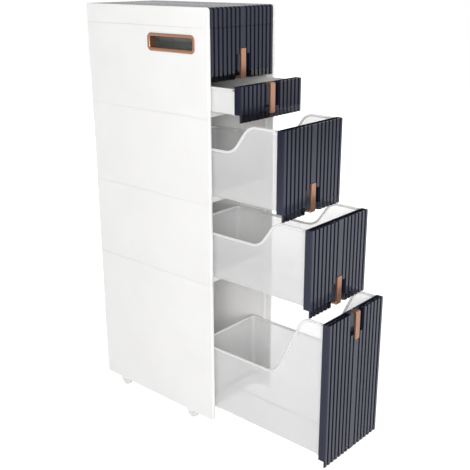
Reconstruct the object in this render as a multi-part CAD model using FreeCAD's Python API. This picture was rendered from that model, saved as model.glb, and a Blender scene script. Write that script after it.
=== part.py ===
import FreeCAD, Part
import math
import os

# A slim five-drawer plastic unit on casters, in millimetres.
# X runs across the unit, Y from front to back, Z up from the floor.
# The origin is on the floor under the middle of the cabinet.

# Cabinet
cabinet_width = 226.0
cabinet_depth = 400.0
base_module_height = 358.5
lower_module_height = 196.6
middle_module_height = 196.6
upper_module_height = 192.2
lid_height = 42.5
shallow_bay_height = 78.0

# Side panels: a wall with a front lip, a flange behind it, a rear post and ledges
panel_wall = 3.2
lip_width = 6.5
flange_width = 9.0
flange_depth = 8.0
rear_post_depth = 12.8
ledge_thickness = 2.5
seam_chamfer = 0.5
front_edge_radius = 3.0
foot_corner_radius = 6.0
inner_rib_setback = 102.0
inner_rib_width = 4.0
inner_rib_proud = 1.6
inner_rib_gap = 2.0

# Back panels, dividers and base tray
back_wall = 3.2
divider_wall = 2.5
shelf_thickness = 2.0
front_bar_depth = 19.5
rail_width = 17.0
shallow_rail_height = 15.0
deep_rail_height = 21.0
base_rail_height = 33.7
tray_lift = 6.0
tray_plate = 3.0
tray_setback = 40.0

# Lid
lid_corner_radius = 7.0
lid_rib_count = 3
lid_rib_width = 2.4
cover_clearance = 0.2

# Drawer fronts
front_thickness = 17.5
front_side_gap = 0.6
front_back_gap = 0.4
front_bottom_gap = 0.6
front_top_gap = 1.5
lid_front_gap = 0.6
front_skin = 2.2
flute_depth = 3.0
flute_draft = 0.8
edge_rib_draft = 2.4
groove_width = 4.0
centre_rib_width = 18.5
ribs_each_side = 7
skirt_height = 16.5
base_skirt_lift = 11.5
base_skirt_height = 15.0
top_channel_depth = 6.0

# Pulls and the recesses behind them
recess_width = 48.0
recess_depth = 13.1
pull_width = 16.0
pull_end_margin = 9.9
low_pull_seat = 12.0
high_pull_seat = 14.0
pull_proud = 2.0
pull_bend_radius = 3.0
pull_clearance = 0.2

# Drawer boxes
box_wall = 1.8
box_rear_radius = 12.0
rim_height = 6.0
rim_overhang = 2.0
rim_clearance = 0.8
rim_bend_radius = 40.0
rim_below_front = 0.4
shallow_rim_below_front = 5.6
deep_rim_drop = 63.0
deep_slope_start = 81.7
deep_slope_run = 46.0
base_rim_drop = 158.5
base_slope_start = 56.5
base_slope_run = 72.0
collar_depth = 8.0
rail_clearance = 0.3
stop_depth = 6.0
stop_thickness = 2.5
stop_inset = 1.0
stop_clearance = 4.0

# How far each drawer is drawn out, from the top drawer down, as shares of the cabinet's depth
draw_out_shares = (0, 0.212, 0.5035, 0.696, 0.826)

# Carry grips in the upper side panels
grip_length = 150.0
grip_height = 41.0
grip_rim = 8.0
grip_proud = 2.0
grip_sleeve_wall = 3.0
grip_sleeve_depth = 19.0
grip_corner_radius = 12.0
grip_setback = 39.0
grip_below_lid = 15.0
grip_clearance = 0.2
grip_box_gap = 6.0

# Screws and pegs
screw_radius = 1.3
screw_length = 6.0
screw_head_radius = 3.0
screw_head_height = 1.6
screw_clearance = 0.05
screw_inset = 11.0
screw_boss_radius = 4.0
screw_spread_share = 0.76
peg_radius = 1.8
peg_length = 16.0
peg_clearance = 0.05

# Casters
wheel_radius = 15.0
wheel_width = 12.0
wheel_edge_radius = 2.0
wheel_dish_depth = 1.5
wheel_dish_inner = 5.5
wheel_dish_outer = 11.5
axle_radius = 2.5
axle_clearance = 0.06
caster_trail = 9.0
cheek_thickness = 3.0
cheek_gap = 0.6
cheek_boss = 5.5
fork_bridge_height = 3.5
fork_wheel_gap = 1.0
fork_panel_gap = 0.5
hub_radius = 10.0
hub_tray_gap = 0.4
stem_radius = 4.0
stem_head_radius = 6.0
stem_head_height = 1.6
stem_clearance = 0.06
stem_head_gap = 0.2
stem_boss_radius = 9.0
stem_boss_height = 16.0
caster_side_inset = 24.0
front_caster_setback = 102.0
rear_caster_inset = 40.0

# Cuts reach this far past the faces they open
overrun = 1.0
same_point = 1e-6

# Planes that the pieces share
half_width = cabinet_width / 2
front_y = -cabinet_depth / 2
back_y = cabinet_depth / 2
back_inner = back_y - back_wall
wall_inner = half_width - panel_wall
lip_inner = half_width - lip_width
opening_half = half_width - flange_width
flange_front = front_y + front_thickness + front_back_gap
flange_back = flange_front + flange_depth
rear_post_front = back_inner - rear_post_depth
rail_inner = wall_inner - rail_width
bar_back = flange_front + front_bar_depth

bridge_bottom = 2 * wheel_radius + fork_wheel_gap
bridge_top = bridge_bottom + fork_bridge_height
base_z = bridge_top + fork_panel_gap
lower_z = base_z + base_module_height
middle_z = lower_z + lower_module_height
upper_z = middle_z + middle_module_height
top_bay_z = upper_z + shallow_bay_height
lid_z = upper_z + upper_module_height
top_z = lid_z + lid_height

tray_z = base_z + tray_lift
tray_front = front_y + tray_setback
base_rail_top = base_z + base_rail_height
cover_underside = top_z - flute_depth - front_skin

front_half = lip_inner - front_side_gap
rib_width = (front_half - centre_rib_width / 2) / ribs_each_side - groove_width
shell_wall_back = flute_depth + front_skin

box_half = opening_half - rim_clearance - rim_overhang
box_depth = rear_post_front - (front_y + front_thickness)

grip_y = front_y + grip_setback + grip_length / 2
grip_z = lid_z - grip_below_lid - grip_height / 2
sleeve_length = grip_length - 2 * (grip_rim - grip_sleeve_wall)
sleeve_height = grip_height - 2 * (grip_rim - grip_sleeve_wall)
sleeve_bottom = grip_z - sleeve_height / 2
slot_length = grip_length - 2 * grip_rim
slot_height = grip_height - 2 * grip_rim

pull_length = shallow_bay_height - front_bottom_gap - front_top_gap - pull_end_margin
pull_thickness = pull_proud + flute_depth
caster_x = half_width - caster_side_inset
caster_ys = {"front": front_y + front_caster_setback, "rear": back_y - rear_caster_inset}
draw_outs = [share * cabinet_depth for share in draw_out_shares]


# General shapes
def block(x0, x1, y0, y1, z0, z1):
    corner = FreeCAD.Vector(x0, y0, z0)
    return Part.makeBox(x1 - x0, y1 - y0, z1 - z0, corner)


def rod(radius, start, stop):
    """Round bar between two points."""
    way = stop - start
    return Part.makeCylinder(radius, way.Length, start, way)


def corner_points(before, here, after, radius):
    """Start, middle and end of the arc that rounds one corner of an outline."""
    back = (before - here).normalize()
    ahead = (after - here).normalize()
    half_angle = back.getAngle(ahead) / 2
    reach = radius / math.tan(half_angle)
    bulge = radius / math.sin(half_angle) - radius
    inward = (back + ahead).normalize()
    return here + back * reach, here + inward * bulge, here + ahead * reach


def outline(corners, place):
    """Face inside straight runs with rounded corners, each corner given as (u, v, radius)."""
    flat = [FreeCAD.Vector(u, v, 0) for u, v, radius in corners]
    count = len(corners)
    bends = []
    for i in range(count):
        radius = corners[i][2]
        if radius > 0:
            bends.append(corner_points(flat[i - 1], flat[i], flat[(i + 1) % count], radius))
        else:
            bends.append((flat[i], flat[i], flat[i]))
    edges = []
    for i in range(count):
        start, middle, stop = bends[i]
        if corners[i][2] > 0:
            edges.append(Part.Arc(place(start), place(middle), place(stop)).toShape())
        following = bends[(i + 1) % count][0]
        if stop.distanceToPoint(following) > same_point:
            edges.append(Part.makeLine(place(stop), place(following)))
    return Part.Face(Part.Wire(edges))


def upright(corners, z0, z1):
    """Prism standing on an outline drawn in plan, with corners (x, y, radius)."""
    base = outline(corners, lambda p: FreeCAD.Vector(p.x, p.y, z0))
    return base.extrude(FreeCAD.Vector(0, 0, z1 - z0))


def across(corners, x0, x1):
    """Prism across the unit on an outline seen from the side, with corners (y, z, radius)."""
    side = outline(corners, lambda p: FreeCAD.Vector(x0, p.x, p.y))
    return side.extrude(FreeCAD.Vector(x1 - x0, 0, 0))


def rectangle(u0, u1, v0, v1, radius):
    return [(u0, v0, radius), (u1, v0, radius), (u1, v1, radius), (u0, v1, radius)]


def mirrored(shape):
    """The same shape on the other side of the unit."""
    return shape.mirror(FreeCAD.Vector(0, 0, 0), FreeCAD.Vector(1, 0, 0))


def fused(shapes):
    return shapes[0].multiFuse(shapes[1:]).removeSplitter()


# Cabinet pieces
def peg_places():
    """Where a panel's two locating pegs stand, in plan, on the left side."""
    x = -half_width + lip_width / 2
    front = (front_y + flange_front) / 2
    rear = (rear_post_front + back_inner) / 2
    return [(x, front), (x, rear)]


def pegs_at(z, clearance):
    """Left-hand pegs across the seam at height z."""
    half = peg_length / 2 + clearance
    shapes = []
    for x, y in peg_places():
        low = FreeCAD.Vector(x, y, z - half)
        high = FreeCAD.Vector(x, y, z + half)
        shapes.append(rod(peg_radius + clearance, low, high))
    return shapes


def side_panel(bottom, top, ledges, seams, rounded_foot):
    """Left side panel between two seams, with ledges whose tops carry the dividers."""
    outer = -half_width
    plan = [
        (outer, front_y, front_edge_radius),
        (-lip_inner, front_y, 0),
        (-lip_inner, flange_front, 0),
        (-opening_half, flange_front, 0),
        (-opening_half, flange_back, 0),
        (-wall_inner, flange_back, 0),
        (-wall_inner, rear_post_front, 0),
        (-lip_inner, rear_post_front, 0),
        (-lip_inner, back_inner, 0),
        (-wall_inner, back_inner, 0),
        (-wall_inner, back_y, 0),
        (outer, back_y, 0),
    ]
    pieces = [upright(plan, bottom, top)]
    for ledge in ledges:
        low = ledge - ledge_thickness
        pieces.append(block(-wall_inner, -opening_half, flange_back, rear_post_front, low, ledge))
    panel = fused(pieces)
    cuts = []
    for seam in seams:
        cuts.extend(pegs_at(seam, peg_clearance))
        cuts.append(seam_groove(seam))
    if rounded_foot:
        cuts.append(foot_cut(bottom))
    return panel.cut(cuts)


def seam_groove(z):
    """Small chamfers that show a seam between two panels as a fine line."""
    outer = -half_width
    corners = [
        (outer - seam_chamfer, z - 2 * seam_chamfer),
        (outer + seam_chamfer, z),
        (outer - seam_chamfer, z + 2 * seam_chamfer),
    ]
    points = [FreeCAD.Vector(x, front_y - overrun, height) for x, height in corners]
    face = Part.Face(Part.makePolygon(points + points[:1]))
    return face.extrude(FreeCAD.Vector(0, cabinet_depth + 2 * overrun, 0))


def foot_cut(z):
    """What is cut from a panel's lower front corner to round it."""
    reach = foot_corner_radius
    square = block(
        -half_width - overrun, -lip_inner + overrun,
        front_y - overrun, front_y + reach, z - overrun, z + reach,
    )
    start = FreeCAD.Vector(-half_width - 2 * overrun, front_y + reach, z + reach)
    stop = FreeCAD.Vector(-lip_inner + 2 * overrun, front_y + reach, z + reach)
    return square.cut(rod(reach, start, stop))


def inner_rib(bottom, top):
    """Low upright rib on the inner face of a left side panel."""
    start = front_y + inner_rib_setback
    stop = start + inner_rib_width
    proud = -wall_inner + inner_rib_proud
    return block(-wall_inner, proud, start, stop, bottom, top)


def grip_hole():
    """Hole in the left panel that takes the grip's sleeve."""
    half_y = sleeve_length / 2 + grip_clearance
    half_z = sleeve_height / 2 + grip_clearance
    radius = grip_corner_radius - (grip_rim - grip_sleeve_wall) + grip_clearance
    corners = rectangle(grip_y - half_y, grip_y + half_y, grip_z - half_z, grip_z + half_z, radius)
    return across(corners, -half_width - overrun, -wall_inner + overrun)


def grip_bezel():
    """Left carry grip: a rim on the panel's face and a sleeve through it."""
    def ring(length, height, radius, x0, x1):
        y0 = grip_y - length / 2
        z0 = grip_z - height / 2
        return across(rectangle(y0, y0 + length, z0, z0 + height, radius), x0, x1)

    outer = -half_width
    inner = outer + grip_sleeve_depth
    sleeve_radius = grip_corner_radius - (grip_rim - grip_sleeve_wall)
    slot_radius = sleeve_radius - grip_sleeve_wall
    rim = ring(grip_length, grip_height, grip_corner_radius, outer - grip_proud, outer)
    sleeve = ring(sleeve_length, sleeve_height, sleeve_radius, outer, inner)
    slot = ring(slot_length, slot_height, slot_radius, outer - grip_proud - overrun, inner + overrun)
    return fused([rim, sleeve]).cut(slot)


def back_panel(bottom, top):
    return block(-wall_inner, wall_inner, back_inner, back_y, bottom, top)


def divider(bottom, rail_height):
    """Shelf between two drawers: a front bar, hollow side rails and a thin dust panel."""
    top = bottom + rail_height
    right_side = [
        (opening_half, flange_front, 0),
        (opening_half, flange_back, 0),
        (wall_inner, flange_back, 0),
        (wall_inner, rear_post_front, 0),
        (lip_inner, rear_post_front, 0),
        (lip_inner, back_inner, 0),
    ]
    left_side = [(-x, y, radius) for x, y, radius in reversed(right_side)]
    solid = upright(right_side + left_side, bottom, top)
    inside_z = top - divider_wall
    tray = block(
        -rail_inner, rail_inner, bar_back, rear_post_front, bottom + shelf_thickness, top + overrun
    )
    bar = block(
        -opening_half + divider_wall, opening_half - divider_wall,
        flange_front + divider_wall, bar_back - divider_wall, bottom - overrun, inside_z,
    )
    rail = block(
        rail_inner + divider_wall, wall_inner - divider_wall,
        bar_back + divider_wall, rear_post_front - divider_wall, bottom - overrun, inside_z,
    )
    return solid.cut([tray, bar, rail, mirrored(rail)])


def caster_places():
    """Name and plan position of each caster's swivel."""
    places = []
    for end, y in caster_ys.items():
        for side, sign in (("left", -1), ("right", 1)):
            places.append((f"{end}_{side}", sign * caster_x, y))
    return places


def base_tray():
    """Floor of the cabinet: side rails for the lowest drawer, a pan and four caster sockets."""
    pan = block(-wall_inner, wall_inner, tray_front, rear_post_front, tray_z, base_rail_top)
    rear = block(-lip_inner, lip_inner, rear_post_front, back_inner, tray_z, base_rail_top)
    arm = block(rail_inner, wall_inner, flange_back, tray_front, tray_z, base_rail_top)
    tray = fused([pan, rear, arm, mirrored(arm)])
    plate_top = tray_z + tray_plate
    inside = block(
        -rail_inner, rail_inner, tray_front + divider_wall, rear_post_front,
        plate_top, base_rail_top + overrun,
    )
    rail = block(
        rail_inner + divider_wall, wall_inner - divider_wall,
        flange_back + divider_wall, rear_post_front - divider_wall,
        tray_z - overrun, base_rail_top - divider_wall,
    )
    tray = tray.cut([inside, rail, mirrored(rail)])
    boss_top = tray_z + stem_boss_height
    bosses = []
    bores = []
    for name, x, y in caster_places():
        foot = FreeCAD.Vector(x, y, tray_z)
        bosses.append(rod(stem_boss_radius, foot, FreeCAD.Vector(x, y, boss_top)))
        below = FreeCAD.Vector(x, y, tray_z - overrun)
        above = FreeCAD.Vector(x, y, boss_top + overrun)
        bores.append(rod(stem_radius + stem_clearance, below, above))
    return fused([tray] + bosses).cut(bores)


def lid_cap():
    """Left end cap of the lid, rounded at its upper front corner."""
    profile = [
        (front_y, lid_z, 0),
        (back_y, lid_z, 0),
        (back_y, top_z, 0),
        (front_y, top_z, lid_corner_radius),
    ]
    cap = across(profile, -half_width, -lip_inner)
    return cap.cut(pegs_at(lid_z, peg_clearance) + [seam_groove(lid_z)])


def lid_frame():
    """White board under the lid's cover, with stiffening ribs and the lid's back wall."""
    plate_top = lid_z + shelf_thickness
    rib_front = front_y + lid_corner_radius
    rib_back = back_inner - cover_clearance
    pieces = [
        block(-lip_inner, lip_inner, flange_front, back_inner, lid_z, plate_top),
        block(-lip_inner, lip_inner, back_inner, back_y, lid_z, cover_underside),
    ]
    spacing = 2 * lip_inner / (lid_rib_count + 1)
    for i in range(lid_rib_count):
        middle = -lip_inner + spacing * (i + 1)
        x0 = middle - lid_rib_width / 2
        pieces.append(
            block(x0, x0 + lid_rib_width, rib_front, rib_back, plate_top, cover_underside)
        )
    return fused(pieces)


def rib_spans():
    """Left and right edge of each upright rib, the wide one in the middle."""
    pitch = rib_width + groove_width
    half_centre = centre_rib_width / 2
    right = [
        (half_centre + groove_width + i * pitch, half_centre + (i + 1) * pitch)
        for i in range(ribs_each_side)
    ]
    left = [(-stop, -start) for start, stop in reversed(right)]
    return left + [(-half_centre, half_centre)] + right


def lid_cover():
    """Dark cover of the lid: ribs run up the front, round the corner and along the top."""
    def band(outer_depth, inner_depth, x0, x1):
        profile = [
            (front_y + outer_depth, lid_z, 0),
            (front_y + outer_depth, top_z - outer_depth, lid_corner_radius - outer_depth),
            (back_y, top_z - outer_depth, 0),
            (back_y, top_z - inner_depth, 0),
            (front_y + inner_depth, top_z - inner_depth, lid_corner_radius - inner_depth),
            (front_y + inner_depth, lid_z, 0),
        ]
        return across(profile, x0, x1)

    cover_half = lip_inner - cover_clearance
    pieces = [band(flute_depth, shell_wall_back, -cover_half, cover_half)]
    for x0, x1 in rib_spans():
        pieces.append(band(0, flute_depth, x0, x1))
    return fused(pieces)


# Drawer pieces
class Drawer:
    """Places of one drawer, in its drawn-out position."""

    def __init__(self, number, bay, bay_top, rail_height, draw_out, pull_low):
        self.number = number
        self.bay = bay
        self.front = front_y - draw_out
        self.back = self.front + front_thickness
        self.bottom = bay + front_bottom_gap
        self.top = bay_top - front_top_gap
        self.skirt = skirt_height
        self.pull_low = pull_low
        self.box_bottom = bay + rail_height + rail_clearance
        self.high = self.top - rim_below_front
        self.low = self.high
        self.slope_start = 0
        self.slope_run = 0
        self.stop_face = bar_back
        self.draw_out = draw_out

    def slope(self, start, run, drop):
        """Lowers the rim behind the front in a smooth S."""
        self.slope_start = self.back + start
        self.slope_run = run
        self.low = self.high - drop

    def travel(self):
        """Whole way from shut until the stop under the box meets the front bar."""
        closed_back = front_y + front_thickness + box_depth
        return closed_back - stop_inset - stop_thickness - self.stop_face


def make_drawers():
    first = Drawer(1, top_bay_z, lid_z, shallow_rail_height, draw_outs[0], True)
    first.top = lid_z - lid_front_gap
    first.high = sleeve_bottom - grip_box_gap
    first.low = first.high
    second = Drawer(2, upper_z, top_bay_z, shallow_rail_height, draw_outs[1], False)
    second.high = second.top - shallow_rim_below_front
    second.low = second.high
    third = Drawer(3, middle_z, upper_z, deep_rail_height, draw_outs[2], True)
    third.slope(deep_slope_start, deep_slope_run, deep_rim_drop)
    fourth = Drawer(4, lower_z, middle_z, deep_rail_height, draw_outs[3], True)
    fourth.slope(deep_slope_start, deep_slope_run, deep_rim_drop)
    fifth = Drawer(5, base_z, lower_z, base_rail_height, draw_outs[4], False)
    fifth.slope(base_slope_start, base_slope_run, base_rim_drop)
    fifth.bottom = base_z + base_skirt_lift
    fifth.skirt = base_skirt_height
    fifth.stop_face = tray_front + divider_wall
    return [first, second, third, fourth, fifth]


def fluted_sheet(front, bottom, top):
    """Skin of a drawer front with its upright ribs."""
    root = front + flute_depth
    back = root + front_skin
    plan = [(front_half, back, 0), (-front_half, back, 0)]
    spans = rib_spans()
    for i, (x0, x1) in enumerate(spans):
        left_draft = edge_rib_draft if i == 0 else flute_draft
        right_draft = edge_rib_draft if i == len(spans) - 1 else flute_draft
        plan.append((x0, root, 0))
        plan.append((x0 + left_draft, front, 0))
        plan.append((x1 - right_draft, front, 0))
        plan.append((x1, root, 0))
    return upright(plan, bottom, top)


def screw(x, seat, z):
    """Screw driven towards the front, its head resting on the plane Y = seat."""
    tip = FreeCAD.Vector(x, seat - screw_length, z)
    under = FreeCAD.Vector(x, seat, z)
    crown = FreeCAD.Vector(x, seat + screw_head_height, z)
    return fused([rod(screw_radius, tip, under), rod(screw_head_radius, under, crown)])


def screw_hole(x, start, stop, z):
    low = FreeCAD.Vector(x, start, z)
    high = FreeCAD.Vector(x, stop, z)
    return rod(screw_radius + screw_clearance, low, high)


def box_screw_places(drawer):
    """Where the box's front wall is screwed to the drawer front."""
    x = front_half * screw_spread_share
    heights = (drawer.box_bottom + screw_inset, drawer.high - rim_height - screw_inset)
    return [(side, z) for side in (-x, x) for z in heights]


def pull_span(drawer):
    """Height of the pull's hooked end, and the way from there along the pull, up or down."""
    if drawer.pull_low:
        return drawer.bottom, 1
    return drawer.top, -1


def pull_seat(drawer):
    """Length of the pull that lies on the front beyond the recess."""
    return low_pull_seat if drawer.pull_low else high_pull_seat


def pull_screw_places(drawer):
    """Height and seat of the pull's two screws: through the skin and through the recess floor."""
    end, way = pull_span(drawer)
    seat_z = end + way * (pull_length - pull_seat(drawer) / 2)
    hook_z = end + way * pull_thickness / 2
    skin_back = drawer.front + shell_wall_back
    floor_back = drawer.front + recess_depth + front_skin
    return [(seat_z, skin_back), (hook_z, floor_back)]


def recess_far_end(drawer):
    """Height at which the recess behind the pull ends."""
    end, way = pull_span(drawer)
    return end + way * (pull_length - pull_seat(drawer))


def drawer_front(drawer):
    """Hollow front: fluted skin, walls and a top channel behind it, a skirt and the pull's recess."""
    front = drawer.front
    skin_back = front + shell_wall_back
    shell_bottom = drawer.bottom + drawer.skirt
    shell = block(-front_half, front_half, skin_back, drawer.back, shell_bottom, drawer.top)
    inner_half = front_half - front_skin
    channel_floor = drawer.top - top_channel_depth
    channel = block(
        -inner_half, inner_half, skin_back, drawer.back - front_skin, channel_floor, drawer.top + overrun
    )
    hollow = block(
        -inner_half, inner_half, skin_back, drawer.back + overrun,
        shell_bottom + front_skin, channel_floor - front_skin,
    )
    end, way = pull_span(drawer)
    far = recess_far_end(drawer)
    low, high = sorted((end, far + way * front_skin))
    half_recess = recess_width / 2
    floor_front = front + recess_depth
    pocket = block(
        -half_recess - front_skin, half_recess + front_skin,
        skin_back, floor_front + front_skin, low, high,
    )
    pieces = [fluted_sheet(front, drawer.bottom, drawer.top), shell.cut([hollow, channel]), pocket]
    holes = []
    for x, z in box_screw_places(drawer):
        start = FreeCAD.Vector(x, skin_back, z)
        stop = FreeCAD.Vector(x, drawer.back, z)
        pieces.append(rod(screw_boss_radius, start, stop))
        holes.append(screw_hole(x, skin_back, drawer.back + overrun, z))
    for z, seat in pull_screw_places(drawer):
        holes.append(screw_hole(0, seat - screw_length, seat + overrun, z))
        head_start = FreeCAD.Vector(0, seat, z)
        head_stop = FreeCAD.Vector(0, drawer.back + overrun, z)
        holes.append(rod(screw_head_radius + screw_clearance, head_start, head_stop))
    low, high = sorted((end - way * overrun, far))
    recess = block(-half_recess, half_recess, front - overrun, floor_front, low, high)
    seat_half = pull_width / 2 + pull_clearance
    seat_end = end + way * (pull_length + pull_clearance)
    low, high = sorted((end, seat_end))
    seat = block(-seat_half, seat_half, front - overrun, front + flute_depth, low, high)
    return fused(pieces).cut([recess, seat] + holes)


def drawer_pull(drawer):
    """Strap that lies on the centre rib and hooks back to the recess floor at the edge."""
    end, way = pull_span(drawer)
    face = drawer.front - pull_proud
    rear = drawer.front + flute_depth
    floor = drawer.front + recess_depth
    tip = end + way * pull_length
    leg = end + way * pull_thickness
    profile = [
        (face, tip, 0),
        (rear, tip, 0),
        (rear, leg, 0),
        (floor, leg, 0),
        (floor, end, 0),
        (face, end, pull_bend_radius),
    ]
    strap = across(profile, -pull_width / 2, pull_width / 2)
    holes = []
    for z, seat in pull_screw_places(drawer):
        holes.append(screw_hole(0, seat - screw_length - screw_clearance, seat, z))
    return strap.cut(holes)


def below_rim(drawer, depth):
    """Everything under the rim line, or under a line that runs a depth inside it."""
    front = drawer.back - overrun
    back = drawer.back + box_depth + 2 * rim_overhang
    floor = drawer.box_bottom - overrun
    high = drawer.high - depth
    low = drawer.low - depth
    corners = [(front, floor, 0), (back, floor, 0)]
    if drawer.slope_run:
        angle = math.atan2(drawer.high - drawer.low, drawer.slope_run)
        shift = depth * math.tan(angle / 2)
        start = drawer.slope_start - shift
        corners.append((back, low, 0))
        corners.append((start + drawer.slope_run, low, rim_bend_radius + depth))
        corners.append((start, high, rim_bend_radius - depth))
        corners.append((front, high, 0))
    else:
        corners.append((back, low, 0))
        corners.append((front, high, 0))
    return across(corners, -half_width, half_width)


def box_prism(drawer, grow, bottom, top):
    """Upright block with the box's plan, grown at its sides and back."""
    half = box_half + grow
    front = drawer.back if grow >= 0 else drawer.back - grow
    back = drawer.back + box_depth + grow
    radius = box_rear_radius + grow
    corners = [(-half, front, 0), (half, front, 0), (half, back, radius), (-half, back, radius)]
    return upright(corners, bottom, top)


def drawer_box(drawer):
    """Thin box with a rim that swoops down behind the front, a collar and a stop."""
    bottom = drawer.box_bottom
    top = drawer.high + overrun
    inside = box_prism(drawer, -box_wall, bottom + box_wall, top + overrun)
    body = box_prism(drawer, 0, bottom, top).common(below_rim(drawer, 0))
    rim = box_prism(drawer, rim_overhang, bottom, top).common(below_rim(drawer, 0))
    rim = rim.cut(below_rim(drawer, rim_height))
    collar_half = box_half + rim_overhang
    collar = block(
        -collar_half, collar_half, drawer.back, drawer.back + collar_depth, bottom, drawer.high
    )
    stop_back = drawer.back + box_depth - stop_inset
    stop_half = rail_inner - stop_clearance
    stop = block(-stop_half, stop_half, stop_back - stop_thickness, stop_back, bottom - stop_depth, bottom)
    box = fused([body, rim, collar, stop]).cut(inside)
    wall_back = drawer.back + box_wall
    holes = [
        screw_hole(x, drawer.back - overrun, wall_back + overrun, z)
        for x, z in box_screw_places(drawer)
    ]
    return box.cut(holes)


def drawer_screws(drawer):
    """The screws of one drawer: four hold the front, two hold the pull."""
    seat = drawer.back + box_wall
    screws = [screw(x, seat, z) for x, z in box_screw_places(drawer)]
    for z, pull_seat_y in pull_screw_places(drawer):
        screws.append(screw(0, pull_seat_y, z))
    return Part.makeCompound(screws)


# Caster pieces, in the caster's own frame: swivel at the middle, floor at Z = 0
stem_head_top = bridge_bottom + stem_head_height
cheek_inner = wheel_width / 2 + cheek_gap
cheek_outer = cheek_inner + cheek_thickness


def axle_line(reach):
    """Ends of the axle, a reach to either side of the wheel's middle."""
    left = FreeCAD.Vector(-reach, -caster_trail, wheel_radius)
    right = FreeCAD.Vector(reach, -caster_trail, wheel_radius)
    return left, right


def caster_fork():
    """Swivelling fork: a hub round the stem, a bridge over the wheel and two cheeks."""
    low = wheel_radius - cheek_boss
    front = -caster_trail - cheek_boss
    rear = -caster_trail + cheek_boss
    profile = [
        (hub_radius, bridge_top, 0),
        (front, bridge_top, 0),
        (front, low, cheek_boss / 2),
        (rear, low, cheek_boss / 2),
        (hub_radius, bridge_bottom, 0),
    ]
    cheek = across(profile, cheek_inner, cheek_outer)
    bridge = block(-cheek_outer, cheek_outer, front, hub_radius, bridge_bottom, bridge_top)
    hub_top = tray_z - hub_tray_gap
    hub = rod(hub_radius, FreeCAD.Vector(0, 0, bridge_bottom), FreeCAD.Vector(0, 0, hub_top))
    fork = fused([bridge, hub, cheek, mirrored(cheek)])
    pocket_low = FreeCAD.Vector(0, 0, bridge_bottom - overrun)
    pocket_high = FreeCAD.Vector(0, 0, stem_head_top + stem_head_gap)
    pocket = rod(stem_head_radius + stem_head_gap, pocket_low, pocket_high)
    bore = rod(stem_radius + stem_clearance, pocket_low, FreeCAD.Vector(0, 0, hub_top + overrun))
    left, right = axle_line(cheek_outer + overrun)
    return fork.cut([pocket, bore, rod(axle_radius + axle_clearance, left, right)])


def caster_axle():
    left, right = axle_line(cheek_outer)
    return rod(axle_radius, left, right)


def caster_wheel():
    """Wheel with rounded edges and a dished ring on either side."""
    half = wheel_width / 2
    left, right = axle_line(half)
    wheel = rod(wheel_radius, left, right)
    rims = [edge for edge in wheel.Edges if isinstance(edge.Curve, Part.Circle)]
    wheel = wheel.makeFillet(wheel_edge_radius, rims)
    cuts = []
    for sign in (-1, 1):
        face = FreeCAD.Vector(sign * (half + overrun), -caster_trail, wheel_radius)
        floor = FreeCAD.Vector(sign * (half - wheel_dish_depth), -caster_trail, wheel_radius)
        cuts.append(rod(wheel_dish_outer, floor, face).cut(rod(wheel_dish_inner, floor, face)))
    left, right = axle_line(half + overrun)
    cuts.append(rod(axle_radius + axle_clearance, left, right))
    return wheel.cut(cuts)


def caster_stem():
    """Headed pin that hangs the fork from the base tray."""
    foot = FreeCAD.Vector(0, 0, bridge_bottom)
    under = FreeCAD.Vector(0, 0, stem_head_top)
    tip = FreeCAD.Vector(0, 0, tray_z + stem_boss_height)
    return fused([rod(stem_head_radius, foot, under), rod(stem_radius, under, tip)])


# All nodes
def cabinet_nodes():
    nodes = {}
    modules = {
        "base": (base_z, lower_z, [tray_z, lower_z], [lower_z], []),
        "lower": (lower_z, middle_z, [middle_z], [lower_z, middle_z],
                  [(lower_z + deep_rail_height, middle_z)]),
        "middle": (middle_z, upper_z, [upper_z], [middle_z, upper_z],
                   [(middle_z + deep_rail_height, upper_z)]),
        "upper": (upper_z, lid_z, [top_bay_z, lid_z], [upper_z, lid_z],
                  [(upper_z + shallow_rail_height, top_bay_z)]),
    }
    for name, (bottom, top, ledges, seams, bays) in modules.items():
        panel = side_panel(bottom, top, ledges, seams, name == "base")
        ribs = [inner_rib(low + inner_rib_gap, high - ledge_thickness) for low, high in bays]
        panel = fused([panel] + ribs)
        if name == "upper":
            panel = panel.cut(grip_hole())
        nodes[f"side_panel_left_{name}"] = panel
        nodes[f"side_panel_right_{name}"] = mirrored(panel)
        nodes[f"back_panel_{name}"] = back_panel(bottom, top)
    nodes["divider_under_drawer_1"] = divider(top_bay_z, shallow_rail_height)
    nodes["divider_under_drawer_2"] = divider(upper_z, shallow_rail_height)
    nodes["divider_under_drawer_3"] = divider(middle_z, deep_rail_height)
    nodes["divider_under_drawer_4"] = divider(lower_z, deep_rail_height)
    nodes["base_tray"] = base_tray()
    nodes["lid_frame"] = lid_frame()
    nodes["lid_cover"] = lid_cover()
    nodes["lid_cap_left"] = lid_cap()
    nodes["lid_cap_right"] = mirrored(lid_cap())
    nodes["grip_bezel_left"] = grip_bezel()
    nodes["grip_bezel_right"] = mirrored(grip_bezel())
    pegs = []
    for seam in (lower_z, middle_z, upper_z, lid_z):
        for peg in pegs_at(seam, 0):
            pegs.extend([peg, mirrored(peg)])
    nodes["panel_pegs"] = Part.makeCompound(pegs)
    return nodes


def caster_nodes():
    nodes = {}
    stems = []
    for name, x, y in caster_places():
        shift = FreeCAD.Vector(x, y, 0)
        nodes[f"caster_fork_{name}"] = caster_fork().translated(shift)
        nodes[f"caster_axle_{name}"] = caster_axle().translated(shift)
        nodes[f"caster_wheel_{name}"] = caster_wheel().translated(shift)
        stems.append(caster_stem().translated(shift))
    nodes["caster_stems"] = Part.makeCompound(stems)
    return nodes


def drawer_nodes():
    nodes = {}
    for drawer in make_drawers():
        nodes[f"drawer_box_{drawer.number}"] = drawer_box(drawer)
        nodes[f"drawer_front_{drawer.number}"] = drawer_front(drawer)
        nodes[f"drawer_pull_{drawer.number}"] = drawer_pull(drawer)
        nodes[f"drawer_screws_{drawer.number}"] = drawer_screws(drawer)
    return nodes


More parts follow.
